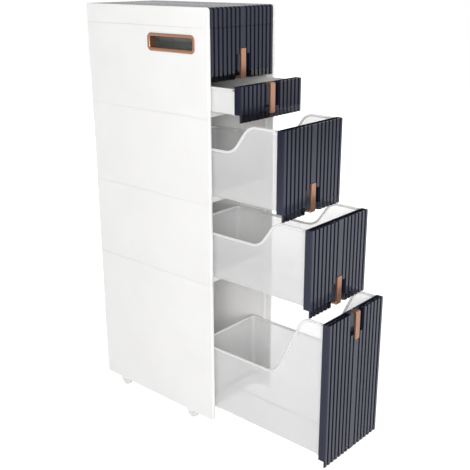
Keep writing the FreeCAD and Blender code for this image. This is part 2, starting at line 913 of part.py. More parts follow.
os.makedirs("parts", exist_ok=True)
all_nodes = {**cabinet_nodes(), **caster_nodes(), **drawer_nodes()}
for node_name, shape in all_nodes.items():
    shape.exportStep(f"parts/{node_name}.step")
    print(f"{node_name}: solids {len(shape.Solids)}, valid {shape.isValid()}, volume {shape.Volume:.0f}")
print(f"{len(all_nodes)} nodes")
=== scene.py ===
# %% [markdown]
# # A slim drawer unit of moulded plastic
# The unit stands on four casters. Its white shell is stacked from four modules, and five drawers with
# dark fluted fronts and milky boxes run in it, drawn out by different amounts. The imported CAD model
# comes first, as a frame that stays where it is. The pieces that give the unit its looks are then
# modelled round that frame, and the rest of the frame is kept and gets finishes.

# %% Load the frame
import math
import bmesh
import bpy
from mathutils import Euler, Matrix, Vector


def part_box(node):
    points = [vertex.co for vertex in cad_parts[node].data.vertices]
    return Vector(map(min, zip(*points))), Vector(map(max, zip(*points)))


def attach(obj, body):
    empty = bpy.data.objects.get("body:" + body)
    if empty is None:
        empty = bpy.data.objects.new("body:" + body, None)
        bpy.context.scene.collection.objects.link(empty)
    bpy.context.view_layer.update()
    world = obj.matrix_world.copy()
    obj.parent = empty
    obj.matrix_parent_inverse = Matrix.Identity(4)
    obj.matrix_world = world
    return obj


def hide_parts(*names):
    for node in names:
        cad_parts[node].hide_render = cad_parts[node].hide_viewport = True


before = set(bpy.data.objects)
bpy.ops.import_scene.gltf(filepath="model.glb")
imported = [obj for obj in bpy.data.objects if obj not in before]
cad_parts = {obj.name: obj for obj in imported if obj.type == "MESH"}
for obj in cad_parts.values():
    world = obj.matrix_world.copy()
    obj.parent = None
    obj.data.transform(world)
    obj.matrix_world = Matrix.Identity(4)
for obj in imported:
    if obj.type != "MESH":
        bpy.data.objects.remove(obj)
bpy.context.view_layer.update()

# %% [markdown]
# ## What every finish shares
# No real surface has one flat colour. Its tint drifts, its gloss wanders and a fine grain breaks up the
# light. All three can come from noise on Object coordinates, which stay with the piece when it moves. A
# picture texture could do the same, but it would need an unwrapped mesh and a file.

# %% Nodes for tint, gloss and grain
NOISE_DETAIL = 3.0
DEEP_TINT_AT = 0.3
PALE_TINT_AT = 0.7


def new_finish(name):
    material = bpy.data.materials.new(name)
    material.use_nodes = True
    tree = material.node_tree
    return material, tree, tree.nodes["Principled BSDF"]


def noise_on_piece(tree, scale, stretch=(1, 1, 1)):
    """Noise on the piece's own coordinates, drawn out where a finish has a direction."""
    place = tree.nodes.new("ShaderNodeTexCoord")
    mapping = tree.nodes.new("ShaderNodeMapping")
    mapping.inputs["Scale"].default_value = stretch
    noise = tree.nodes.new("ShaderNodeTexNoise")
    noise.inputs["Scale"].default_value = scale
    noise.inputs["Detail"].default_value = NOISE_DETAIL
    tree.links.new(place.outputs["Object"], mapping.inputs["Vector"])
    tree.links.new(mapping.outputs["Vector"], noise.inputs["Vector"])
    return noise.outputs["Fac"]


def drifting_colour(tree, shader, noise, deep, pale):
    ramp = tree.nodes.new("ShaderNodeValToRGB")
    first, last = ramp.color_ramp.elements
    first.position = DEEP_TINT_AT
    first.color = (*deep, 1)
    last.position = PALE_TINT_AT
    last.color = (*pale, 1)
    tree.links.new(noise, ramp.inputs["Fac"])
    tree.links.new(ramp.outputs["Color"], shader.inputs["Base Color"])


def drifting_gloss(tree, shader, noise, low, high):
    spread = tree.nodes.new("ShaderNodeMapRange")
    spread.inputs["To Min"].default_value = low
    spread.inputs["To Max"].default_value = high
    tree.links.new(noise, spread.inputs["Value"])
    tree.links.new(spread.outputs["Result"], shader.inputs["Roughness"])


def fine_grain(tree, shader, noise, depth, strength):
    bump = tree.nodes.new("ShaderNodeBump")
    bump.inputs["Distance"].default_value = depth
    bump.inputs["Strength"].default_value = strength
    tree.links.new(noise, bump.inputs["Height"])
    tree.links.new(bump.outputs["Normal"], shader.inputs["Normal"])


print("tints run from", DEEP_TINT_AT, "to", PALE_TINT_AT, "of the noise")

# %% [markdown]
# ## A moulded plastic
# On plastic the three go at different scales: the tint drifts over a hand's width, the gloss over a
# finger's width, and the mould's grain over a millimetre or two. They could be set up anew for each
# plastic. One function that puts them together leaves only colours and numbers to choose.

# %% Put a moulded finish together
TINT_SCALE = 7.0
GLOSS_SCALE = 60.0
GRAIN_DEPTH = 0.0002


def moulded(name, deep, pale, gloss, grain_scale, grain_strength):
    """Finish of a moulded plastic: a drifting tint, a drifting gloss and a fine grain."""
    material, tree, shader = new_finish(name)
    drifting_colour(tree, shader, noise_on_piece(tree, TINT_SCALE), deep, pale)
    drifting_gloss(tree, shader, noise_on_piece(tree, GLOSS_SCALE), *gloss)
    fine_grain(tree, shader, noise_on_piece(tree, grain_scale), GRAIN_DEPTH, grain_strength)
    return material, shader


print("tint drifts over", round(1000 / TINT_SCALE), "mm, gloss over", round(1000 / GLOSS_SCALE), "mm")

# %% [markdown]
# ## The white shell
# Panels, bars and shelves are satin white plastic. Plain white would look like paint, because light
# enters such plastic and comes out a little further on, so the finish scatters it over a few
# millimetres. The mirror-like part is weak, so that a lamp seen at a flat angle doesn't wash out the
# seams. The casters' forks and wheels are plain plastics of much the same kind.

# %% White finishes
white_plastic, shader = moulded(
    "satin_white_plastic", (0.89, 0.885, 0.875), (0.925, 0.92, 0.91), (0.4, 0.5), 900.0, 0.12
)
shader.inputs["Specular IOR Level"].default_value = 0.25
shader.inputs["Subsurface Weight"].default_value = 0.6
shader.inputs["Subsurface Radius"].default_value = (1, 1, 1)
shader.inputs["Subsurface Scale"].default_value = 0.003

fork_plastic, shader = moulded(
    "caster_fork_plastic", (0.86, 0.86, 0.845), (0.9, 0.9, 0.885), (0.38, 0.5), 800.0, 0.15
)
wheel_plastic, shader = moulded(
    "caster_wheel_plastic", (0.8, 0.8, 0.785), (0.86, 0.86, 0.845), (0.3, 0.42), 600.0, 0.2
)
print("white finishes:", white_plastic.name, fork_plastic.name, wheel_plastic.name)

# %% [markdown]
# ## The milky boxes
# The boxes let light through, and the far rim and the floor show through them as faint lines.
# Transmission could do that, but with a rough surface it blurs those lines away. A plain alpha lets a
# fixed share of what lies behind show, and keeps the lines. In the corners round the floor, where the
# plastic is thick, and along the floor line, a darker colour is painted in: painted shade for the light
# that thick plastic holds back. The rims and the two shallow boxes are nearly opaque.

# %% Finishes of the boxes
milky_plastic, shader = moulded(
    "milky_box_plastic", (0.865, 0.863, 0.865), (0.89, 0.888, 0.89), (0.05, 0.1), 700.0, 0.03
)
shader.inputs["Alpha"].default_value = 0.37

rim_plastic, shader = moulded(
    "milky_rim_plastic", (0.87, 0.87, 0.86), (0.895, 0.895, 0.885), (0.3, 0.4), 700.0, 0.08
)
shader.inputs["Transmission Weight"].default_value = 0.2
shader.inputs["IOR"].default_value = 1.3

# Painted shade: a darker milky colour for the corners round the floor and the line along it.
shaded_thick_plastic, shader = moulded(
    "shaded_thick_milky_plastic", (0.54, 0.54, 0.54), (0.6, 0.6, 0.595), (0.2, 0.3), 700.0, 0.05
)
shader.inputs["Transmission Weight"].default_value = 0.3
shader.inputs["IOR"].default_value = 1.2
BOX_FINISHES = [milky_plastic, rim_plastic, shaded_thick_plastic]
SHALLOW_BOX_FINISHES = [rim_plastic, rim_plastic, shaded_thick_plastic]
WALL, BEAD, THICK_SHADE = range(len(BOX_FINISHES))
print("box finishes:", [finish.name for finish in BOX_FINISHES])

# %% [markdown]
# ## The smoked fronts
# The fronts are smoked plastic, polished on the ribs' crests and satin at the sides. The grooves and
# other hollows get a nearly black colour, which is painted shade. Low down the fronts get a lighter
# colour, painted light for the room's light that the open drawers let through from behind, and the thin
# skirt is clear. One material with masks could hold all of that, but four finishes on chosen faces are
# easier to read and to change.

# %% Finishes of the fronts
# Painted light: from DARK_ABOVE down to LIT_BELOW the fronts' colour turns lighter.
LIT_BELOW = 0.62
DARK_ABOVE = 0.815


def paint_light_downwards(material, shader, lit):
    """Painted light: mixes in a lighter tint low down, where more of the room's light comes through
    from behind.
    """
    tree = material.node_tree
    drift = shader.inputs["Base Color"].links[0].from_socket
    place = tree.nodes.new("ShaderNodeTexCoord")
    split = tree.nodes.new("ShaderNodeSeparateXYZ")
    share = tree.nodes.new("ShaderNodeMapRange")
    share.inputs["From Min"].default_value = DARK_ABOVE
    share.inputs["From Max"].default_value = LIT_BELOW
    mix = tree.nodes.new("ShaderNodeMixRGB")
    mix.inputs["Color2"].default_value = (*lit, 1)
    tree.links.new(place.outputs["Object"], split.inputs["Vector"])
    tree.links.new(split.outputs["Z"], share.inputs["Value"])
    tree.links.new(share.outputs["Result"], mix.inputs["Fac"])
    tree.links.new(drift, mix.inputs["Color1"])
    tree.links.new(mix.outputs["Color"], shader.inputs["Base Color"])


polished_smoke, shader = moulded(
    "polished_smoked_plastic", (0.012, 0.013, 0.024), (0.016, 0.017, 0.031), (0.1, 0.2), 500.0, 0.04
)
shader.inputs["Specular IOR Level"].default_value = 0.24
shader.inputs["Specular Tint"].default_value = (0.82, 0.85, 1, 1)
paint_light_downwards(polished_smoke, shader, (0.051, 0.054, 0.074))

satin_smoke, shader = moulded(
    "satin_smoked_plastic", (0.01, 0.0115, 0.024), (0.014, 0.0155, 0.032), (0.34, 0.46), 600.0, 0.12
)
shader.inputs["Specular IOR Level"].default_value = 0.06
paint_light_downwards(satin_smoke, shader, (0.04, 0.042, 0.063))

# Painted shade: this nearly black colour goes on the grooves, the top channel, the recess walls and the
# other hollows of the fronts and the lid.
painted_shade_smoke, shader = moulded(
    "painted_shade_smoked_plastic", (0.006, 0.008, 0.018), (0.009, 0.011, 0.024), (0.34, 0.46), 600.0, 0.12
)
shader.inputs["Specular IOR Level"].default_value = 0.12

clear_smoke, shader = moulded(
    "clear_smoked_skirt", (0.02, 0.02, 0.031), (0.03, 0.03, 0.045), (0.08, 0.16), 500.0, 0.04
)
shader.inputs["Transmission Weight"].default_value = 0.92
shader.inputs["IOR"].default_value = 1.4
shader.inputs["Specular IOR Level"].default_value = 0.2
FRONT_FINISHES = [polished_smoke, satin_smoke, painted_shade_smoke, clear_smoke]
POLISHED, SATIN, SHADED, CLEAR = range(len(FRONT_FINISHES))
print("front finishes:", [finish.name for finish in FRONT_FINISHES])

# %% [markdown]
# ## Plated and steel pieces
# The pulls and grips are plated, so they are metal to the eye, with fine upright brush lines. The same
# noise is squeezed sideways for them, and drives tint, gloss and grain together, as one scratch changes
# all three. The casters' axles and stems are turned steel with an even grain.

# %% Metal finishes
BRUSH_SCALE = 10.0
BRUSH_STRETCH = (260, 260, 9)
TURNING_SCALE = 400.0
SCRATCH_DEPTH = 0.0001

copper_plate, tree, shader = new_finish("brushed_copper_plate")
brush = noise_on_piece(tree, BRUSH_SCALE, BRUSH_STRETCH)
drifting_colour(tree, shader, brush, (0.305, 0.157, 0.098), (0.375, 0.192, 0.122))
drifting_gloss(tree, shader, brush, 0.26, 0.36)
fine_grain(tree, shader, brush, SCRATCH_DEPTH, 0.12)
shader.inputs["Metallic"].default_value = 0.65

fastener_steel, tree, shader = new_finish("turned_steel")
turning = noise_on_piece(tree, TURNING_SCALE)
drifting_colour(tree, shader, turning, (0.52, 0.52, 0.53), (0.62, 0.62, 0.63))
drifting_gloss(tree, shader, turning, 0.25, 0.4)
fine_grain(tree, shader, turning, SCRATCH_DEPTH, 0.1)
shader.inputs["Metallic"].default_value = 1.0
print("metal finishes:", copper_plate.name, fastener_steel.name)

# %% [markdown]
# ## Bench tools for meshes
# Each new piece starts as a bmesh: a block, a face or a line of edges, which operators then cut, push
# out and round. Working out lists of points would give the same meshes, but every change would then
# have to be worked out again. A handful of small helpers keep the steps readable.

# %% Helpers that make and cut
SAME = 1e-5
X_AXIS = Vector((1, 0, 0))
Y_AXIS = Vector((0, 1, 0))
Z_AXIS = Vector((0, 0, 1))


def near(value, target):
    return abs(value - target) < SAME


def verts_of(made):
    return [item for item in made if isinstance(item, bmesh.types.BMVert)]


def edges_of(made):
    return [item for item in made if isinstance(item, bmesh.types.BMEdge)]


def faces_of(made):
    return [item for item in made if isinstance(item, bmesh.types.BMFace)]


def edges_at(bm, test):
    """Edges whose two ends both pass a test on their position."""
    return [edge for edge in bm.edges if all(test(vert.co) for vert in edge.verts)]


def add_block(bm, low, high):
    """Block between two corners."""
    verts = bmesh.ops.create_cube(bm, size=1.0)["verts"]
    bmesh.ops.scale(bm, vec=high - low, verts=verts)
    bmesh.ops.translate(bm, vec=(low + high) / 2, verts=verts)
    return verts


def cut_through(bm, point, normal):
    """New edges where a plane crosses the mesh."""
    everything = bm.verts[:] + bm.edges[:] + bm.faces[:]
    bmesh.ops.bisect_plane(bm, geom=everything, dist=SAME, plane_co=point, plane_no=normal)


def push_edges(bm, edges, way):
    """Pulls a strip of faces out of a line of edges and returns the strip's far edges."""
    made = bmesh.ops.extrude_edge_only(bm, edges=edges)["geom"]
    bmesh.ops.translate(bm, vec=way, verts=verts_of(made))
    return edges_of(made)


print("points closer than", SAME * 1000, "mm count as one")

# %% [markdown]
# ## Rounding and finishing
# Moulded pieces have no knife edges. Large roundings are cut into the bmesh, and the smallest are left
# to a live bevel on the finished piece, which costs no modelling. The last helper turns a bmesh into a
# piece that rides on its body and stands for its CAD node.

# %% Helpers that round and finish
SOFT_EDGE_ANGLE = math.radians(40)
SHARP_EDGE_ANGLE = math.radians(32)


def round_edges(bm, edges, radius, segments):
    bmesh.ops.bevel(
        bm, geom=edges, offset=radius, affect="EDGES", segments=segments, profile=0.5, material=-1
    )


def round_corners(bm, verts, radius, segments):
    """Rounds the corners of a flat face."""
    bmesh.ops.bevel(
        bm, geom=verts, offset=radius, affect="VERTICES", segments=segments, profile=0.5, material=-1
    )


def face_outwards(bm, outward):
    """One sense for all normals, so that faces on the outer side look along the given direction."""
    bmesh.ops.remove_doubles(bm, verts=bm.verts[:], dist=SAME)
    bmesh.ops.recalc_face_normals(bm, faces=bm.faces[:])
    facing = sum(face.normal.dot(outward) * face.calc_area() for face in bm.faces)
    if facing < 0:
        bmesh.ops.reverse_faces(bm, faces=bm.faces[:])


def thicken(piece, thickness):
    """Live wall behind the faces that were modelled."""
    wall = piece.modifiers.new("skin", "SOLIDIFY")
    wall.thickness = thickness
    wall.offset = -1
    wall.use_even_offset = True


def soften(piece, width, segments=2):
    """Live bevel on the sharp edges of a finished piece."""
    bevel = piece.modifiers.new("soft_edges", "BEVEL")
    bevel.width = width
    bevel.segments = segments
    bevel.limit_method = "ANGLE"
    bevel.angle_limit = SOFT_EDGE_ANGLE
    bevel.harden_normals = True


def finished(name, bm, body, node, finishes):
    """Turns a bmesh into a piece that rides on a body and stands for a CAD node."""
    mesh = bpy.data.meshes.new(name)
    bm.to_mesh(mesh)
    bm.free()
    mesh.shade_smooth()
    mesh.set_sharp_from_angle(angle=SHARP_EDGE_ANGLE)
    for finish in finishes:
        mesh.materials.append(finish)
    piece = bpy.data.objects.new(name, mesh)
    bpy.context.scene.collection.objects.link(piece)
    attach(piece, body)
    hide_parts(node)
    return piece


print("edges sharper than", round(math.degrees(SOFT_EDGE_ANGLE)), "degrees are softened")

# %% [markdown]
# ## The ribs
# All dark pieces share one pattern: a wide rib in the middle and seven narrower ones on either side,
# with narrow grooves between them. The outermost flanks lean more, as the mould needs there. The ribs
# could be cut out of a block one by one. Here the pattern is drawn once as a line across the piece, and
# that line is pulled along, which keeps every face a clean strip.

# %% The line of ribs
GROOVE_WIDTH = 0.004
GROOVE_DEPTH = 0.003
RIB_DRAFT = 0.0008
EDGE_RIB_DRAFT = 0.0024
CENTRE_RIB_HALF = 0.00925
RIBS_EACH_SIDE = 7


def rib_spans(half):
    """Left and right edge of each rib, from left to right."""
    pitch = (half - CENTRE_RIB_HALF) / RIBS_EACH_SIDE
    starts = [CENTRE_RIB_HALF + GROOVE_WIDTH + i * pitch for i in range(RIBS_EACH_SIDE)]
    right = [(start, start + pitch - GROOVE_WIDTH) for start in starts]
    left = [(-stop, -start) for start, stop in reversed(right)]
    return left + [(-CENTRE_RIB_HALF, CENTRE_RIB_HALF)] + right


def rib_line(bm, half, crest, z):
    """Edges that follow the ribs across a piece, with their crests at Y = crest."""
    root = crest + GROOVE_DEPTH
    corners = []
    for left, right in rib_spans(half):
        left_draft = EDGE_RIB_DRAFT if near(left, -half) else RIB_DRAFT
        right_draft = EDGE_RIB_DRAFT if near(right, half) else RIB_DRAFT
        corners.append((left, root))
        corners.append((left + left_draft, crest))
        corners.append((right - right_draft, crest))
        corners.append((right, root))
    verts = [bm.verts.new((x, y, z)) for x, y in corners]
    return [bm.edges.new(pair) for pair in zip(verts, verts[1:])]


# %% [markdown]
# ## Drawer fronts: the recess behind the pull
# A front's ribbed skin is the line of ribs pulled up. In its middle, at the lower or the upper edge, a
# shallow recess leaves room for fingers behind the pull, and the pull's end lies in a seat on the
# middle rib. A boolean cut could make both. A patch of the skin pushed back to a flat floor keeps the
# mesh clean, and it leaves the recess open at the edge.

# %% Recess and seat
RECESS_HALF = 0.024
RECESS_DEPTH = 0.0131


def sink_recess(bm, crest, low, high, opening):
    """Pushes the patch between two heights back to a flat floor, open at one edge."""
    patch = []
    for face in bm.faces:
        middle = face.calc_center_median()
        if abs(middle.x) < RECESS_HALF and low < middle.z < high:
            patch.append(face)
    made = bmesh.ops.extrude_face_region(bm, geom=patch)["geom"]
    for vert in verts_of(made):
        vert.co.y = crest + RECESS_DEPTH
    bmesh.ops.delete(bm, geom=patch, context="FACES")
    lid = [face for face in bm.faces if all(near(vert.co.z, opening) for vert in face.verts)]
    bmesh.ops.delete(bm, geom=lid, context="FACES")


def sink_seat(bm, crest, low, high):
    """Lowers the centre rib where the pull's end lies on the front."""
    for vert in bm.verts:
        on_rib = abs(vert.co.x) < CENTRE_RIB_HALF - SAME and near(vert.co.y, crest)
        if on_rib and low - SAME < vert.co.z < high + SAME:
            vert.co.y = crest + GROOVE_DEPTH


print("recess:", round(2000 * RECESS_HALF), "mm wide and", round(1000 * RECESS_DEPTH, 1), "mm deep")

# %% [markdown]
# ## Drawer fronts: the shell behind the skin
# Behind the skin a front is a hollow shell. Its side walls are the skin's side edges pulled back, down
# to the skirt, which stays a single thin sheet. Plates close the shell below and make a channel along
# the top, which reads as a black band behind the ribs, from its depth and from the nearly black painted
# shade on its faces. All of it is modelled without thickness, because one Solidify modifier gives every
# wall the same.

# %% Walls and plates
FRONT_SKIN = 0.0022
CHANNEL_DEPTH = 0.006


def side_edges(bm, half, shell_bottom):
    """Open edges at the sides, from which the shell's walls grow."""
    chosen = []
    for edge in bm.edges:
        start, stop = (vert.co for vert in edge.verts)
        at_side = near(abs(start.x), half) and near(stop.x, start.x)
        if edge.is_boundary and at_side and min(start.z, stop.z) > shell_bottom - SAME:
            chosen.append(edge)
    return chosen


def add_plate(bm, corners):
    """Flat plate between corners, which gets its thickness with the rest of the shell."""
    bm.faces.new([bm.verts.new(corner) for corner in corners])


def add_shell_plates(bm, low, high, shell_bottom, opens_low):
    """Plate under the shell and channel along its top, clear of the recess where it opens."""
    skin_back = low.y + GROOVE_DEPTH + FRONT_SKIN
    back = high.y - FRONT_SKIN
    inner = high.x - FRONT_SKIN
    pocket = RECESS_HALF + FRONT_SKIN
    channel = high.z - CHANNEL_DEPTH
    whole = [(-inner, inner)]
    beside_pocket = [(-inner, -pocket), (pocket, inner)]
    for x0, x1 in beside_pocket if opens_low else whole:
        add_plate(bm, [(x0, skin_back, shell_bottom), (x0, high.y, shell_bottom),
                       (x1, high.y, shell_bottom), (x1, skin_back, shell_bottom)])
    for x0, x1 in whole if opens_low else beside_pocket:
        add_plate(bm, [(x0, skin_back, channel), (x1, skin_back, channel),
                       (x1, back, channel), (x0, back, channel)])
    add_plate(bm, [(-inner, back, channel), (inner, back, channel),
                   (inner, back, high.z), (-inner, back, high.z)])


print("walls of a front:", round(1000 * FRONT_SKIN, 1), "mm")

# %% [markdown]
# ## Drawer fronts: all five
# Each front takes its size from its CAD node, and the place of its recess from its pull. Once the shape
# is done, each face gets the finish that its place calls for: polished on the crests and the recess
# floor, satin at the sides, clear on the skirt, and a nearly black painted shade in the grooves and
# everywhere else. Painting a mask would take an unwrapped mesh, and a test on a face's place doesn't.

# %% Make the five fronts
SKIRT = 0.0165
LOWEST_SKIRT = 0.015
LOWEST_DRAWER = 5
LOW_SEAT = 0.012
HIGH_SEAT = 0.014
SEAT_STEP = 0.0003
PULL_CLEARANCE = 0.0002
FRONT_EDGE = 0.0005
FLAT = 0.9


def choose_finishes(bm, half, crest, shell_bottom):
    """Polished crests and recess floor, satin sides, clear skirt, and nearly black painted shade on all
    else.
    """
    for face in bm.faces:
        centre = face.calc_center_median()
        flat = abs(face.normal.y) > FLAT
        if centre.z < shell_bottom - SAME:
            face.material_index = CLEAR
        elif abs(centre.x) > half - EDGE_RIB_DRAFT:
            face.material_index = SATIN
        elif flat and (near(centre.y, crest) or near(centre.y, crest + RECESS_DEPTH)):
            face.material_index = POLISHED
        else:
            face.material_index = SHADED


def make_front(number):
    low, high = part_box(f"drawer_front_{number}")
    strap_low, strap_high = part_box(f"drawer_pull_{number}")
    crest = low.y
    half = high.x
    shell_bottom = low.z + (LOWEST_SKIRT if number == LOWEST_DRAWER else SKIRT)
    opens_low = near(strap_low.z, low.z)
    if opens_low:
        opening = low.z
        far = strap_high.z - LOW_SEAT
        tip = strap_high.z + PULL_CLEARANCE
        step = tip + SEAT_STEP
    else:
        opening = high.z
        far = strap_low.z + HIGH_SEAT
        tip = strap_low.z - PULL_CLEARANCE
        step = tip - SEAT_STEP
    bm = bmesh.new()
    push_edges(bm, rib_line(bm, half, crest, low.z), Z_AXIS * (high.z - low.z))
    for x in (-RECESS_HALF, RECESS_HALF):
        cut_through(bm, X_AXIS * x, X_AXIS)
    for z in (far, tip, step, shell_bottom):
        cut_through(bm, Z_AXIS * z, Z_AXIS)
    sink_recess(bm, crest, min(opening, far), max(opening, far), opening)
    sink_seat(bm, crest, min(far, tip), max(far, tip))
    push_edges(bm, side_edges(bm, half, shell_bottom), Y_AXIS * (high.y - crest - GROOVE_DEPTH))
    face_outwards(bm, -Y_AXIS)
    add_shell_plates(bm, low, high, shell_bottom, opens_low)
    bm.normal_update()
    choose_finishes(bm, half, crest, shell_bottom)
    piece = finished(
        f"fluted_front_{number}", bm, f"drawer_{number}", f"drawer_front_{number}",
        FRONT_FINISHES,
    )
    thicken(piece, FRONT_SKIN)
    soften(piece, FRONT_EDGE)
    print(piece.name, "faces", len(piece.data.polygons))


for number in range(1, 6):
    make_front(number)

# %% [markdown]
# ## Pulls
# A pull is a flat strap. One end lies on the front's middle rib, and the other hooks back to the floor
# of the recess. It could be a bent ribbon with a thickness, but its outline from the side is simple
# enough to draw as one face and push across. The outer bend is rounded first, then all the other edges
# a little.

# %% Make the five pulls
STRAP = 0.005
STRAP_BEND = 0.003
STRAP_EDGE = 0.0007


def make_pull(number):
    low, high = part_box(f"drawer_pull_{number}")
    front_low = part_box(f"drawer_front_{number}")[0]
    rear = low.y + STRAP
    hooked_low = near(low.z, front_low.z)
    end, leg, tip = (low.z, low.z + STRAP, high.z) if hooked_low else (high.z, high.z - STRAP, low.z)
    profile = [(low.y, tip), (rear, tip), (rear, leg), (high.y, leg), (high.y, end), (low.y, end)]
    bm = bmesh.new()
    side = bm.faces.new([bm.verts.new((low.x, y, z)) for y, z in profile])
    made = bmesh.ops.extrude_face_region(bm, geom=[side])["geom"]
    bmesh.ops.translate(bm, vec=X_AXIS * (high.x - low.x), verts=verts_of(made))
    bend = edges_at(bm, lambda co: near(co.y, low.y) and near(co.z, end))
    round_edges(bm, bend, STRAP_BEND, segments=5)
    bmesh.ops.recalc_face_normals(bm, faces=bm.faces[:])
    piece = finished(
        f"strap_pull_{number}", bm, f"drawer_{number}", f"drawer_pull_{number}",
        [copper_plate],
    )
    soften(piece, STRAP_EDGE, segments=3)
    print(piece.name, "from", round(low.z, 4), "to", round(high.z, 4))


for number in range(1, 6):
    make_pull(number)

# %% [markdown]
# ## Drawer boxes: the rim's line
# The rim of a deep box is level behind the front, swoops down in an S and runs on low to the rear. The
# S is two arcs with a straight slope between them. It could be cut with a curved tool, but thin strips
# are easier: a piece is cut across many times over the S, and each cut's points are moved to the rim's
# height there, square to the rim where it slopes.

# %% Bend a piece to the rim's line
RIM_BEND = 0.04
SLOPES = {
    3: {"start": 0.0817, "run": 0.046, "drop": 0.063},
    4: {"start": 0.0817, "run": 0.046, "drop": 0.063},
    5: {"start": 0.0565, "run": 0.072, "drop": 0.1585},
}
SLOPE_CUT_STEP = 0.004


def rim_fall(number, y):
    """How far the rim has fallen at a distance y behind the front, and its slope angle there."""
    if number not in SLOPES:
        return 0.0, 0.0
    start, run, drop = (SLOPES[number][key] for key in ("start", "run", "drop"))
    steep = math.atan2(drop, run)
    reach = RIM_BEND * math.tan(steep / 2)
    along = y - start
    if along <= -reach:
        return 0.0, 0.0
    if along >= run + reach:
        return drop, 0.0
    if along < reach * math.cos(steep):
        angle = math.asin((along + reach) / RIM_BEND)
        return RIM_BEND * (1 - math.cos(angle)), angle
    if along > run - reach * math.cos(steep):
        angle = math.asin((run + reach - along) / RIM_BEND)
        return drop - RIM_BEND * (1 - math.cos(angle)), angle
    return along * math.tan(steep), steep


def cut_over_slope(bm, number, front):
    """Cuts a piece across many times where the rim falls."""
    if number in SLOPES:
        slope = SLOPES[number]
        first = front + slope["start"] - RIM_BEND
        count = round((slope["run"] + 2 * RIM_BEND) / SLOPE_CUT_STEP)
        for i in range(count + 1):
            cut_through(bm, Y_AXIS * (first + i * SLOPE_CUT_STEP), Y_AXIS)


def bend_to_rim(number, verts, front, top):
    """Moves points that lie a little under a level rim so that they lie as far under the real one."""
    for vert in verts:
        fall, angle = rim_fall(number, vert.co.y - front)
        depth = top - vert.co.z
        vert.co.y -= math.sin(angle) * depth
        vert.co.z = top - fall - math.cos(angle) * depth


print("rim 5 falls", [round(rim_fall(5, y / 100)[0] * 1000) for y in range(0, 20, 2)], "mm")

# %% [markdown]
# ## Drawer boxes: the bead
# All along the rim runs a rounded bead. A curve with a round section could follow the rim, but it would
# twist in the corners. Here the bead starts as a rounded section at the front, is pulled back, spun
# round the rear corners and pulled forward again, and then bends down over the S as the wall does.

# %% The bead along the rim
BOX_WALL = 0.0018
BEAD_OUT = 0.002
BEAD_IN = 0.0002
BEAD_DOWN = 0.006
BEAD_ROUND = 0.0016
REAR_RADIUS = 0.012
CORNER_STEPS = 6


def pull_face(bm, face, way):
    """Pulls a tube out of its end face and returns the new end."""
    made = bmesh.ops.extrude_face_region(bm, geom=[face])["geom"]
    bmesh.ops.translate(bm, vec=way, verts=verts_of(made))
    return faces_of(made)[0]


def turn_corner(bm, face, centre):
    """Spins a tube's end face a quarter turn round a rear corner and returns the new end."""
    everything = [face, *face.edges, *face.verts]
    turn = bmesh.ops.spin(
        bm, geom=everything, cent=centre, axis=Z_AXIS, angle=-math.pi / 2, steps=CORNER_STEPS
    )
    return faces_of(turn["geom_last"])[0]


def add_bead(bm, number, front, half, rear, top):
    """Rounded bead along the rim, from the front round the back to the front."""
    bead = bmesh.new()
    outer = -half - BEAD_OUT
    inner = -half + BOX_WALL + BEAD_IN
    corners = [(outer, top - BEAD_DOWN), (inner, top - BEAD_DOWN), (inner, top), (outer, top)]
    verts = [bead.verts.new((x, front, z)) for x, z in corners]
    bead.faces.new(verts)
    round_corners(bead, verts, BEAD_ROUND, segments=4)
    end = bead.faces[:][0]
    middle_x = half - REAR_RADIUS
    middle_y = rear - REAR_RADIUS
    end = pull_face(bead, end, Y_AXIS * (middle_y - front))
    end = turn_corner(bead, end, Vector((-middle_x, middle_y, top)))
    end = pull_face(bead, end, X_AXIS * (2 * middle_x))
    end = turn_corner(bead, end, Vector((middle_x, middle_y, top)))
    pull_face(bead, end, Y_AXIS * (front - middle_y))
    cut_over_slope(bead, number, front)
    bend_to_rim(number, bead.verts, front, top)
    bmesh.ops.recalc_face_normals(bead, faces=bead.faces[:])
    for face in bead.faces:
        face.material_index = BEAD
    carrier = bpy.data.meshes.new("bead_carrier")
    bead.to_mesh(carrier)
    bead.free()
    bm.from_mesh(carrier)
    bpy.data.meshes.remove(carrier)


print("bead:", round(1000 * (BEAD_OUT + BOX_WALL + BEAD_IN), 1), "by", round(1000 * BEAD_DOWN, 1), "mm")

# %% [markdown]
# ## Drawer boxes: all five
# A box is one thin milky shell. It starts as a block with rounded rear corners and floor edges. The
# roof is taken off, the walls' tops follow the rim, and the shell gets its wall inwards. Collars
# stiffen it behind the front, a stop hangs under its rear edge, and a fine line runs along the floor.
# Thickness could stay with a modifier here too, but the thick corners need their own finish, with
# painted shade, so their faces have to exist.

# %% Make the five boxes
WALL_SHORT = 0.003
FLOOR_RADIUS = 0.003
SHADE_TILT_MIN = 0.15
SHADE_TILT_MAX = 0.95
COLLAR_DEPTH = 0.008
STOP_DROP = 0.006
STOP_HALF = 0.0888
STOP_INSET = 0.001
STOP_THICKNESS = 0.0025
FLOOR_LINE_HALF = 0.0012
FLOOR_LINE_HIGH = 0.0008
BOX_EDGE = 0.0006


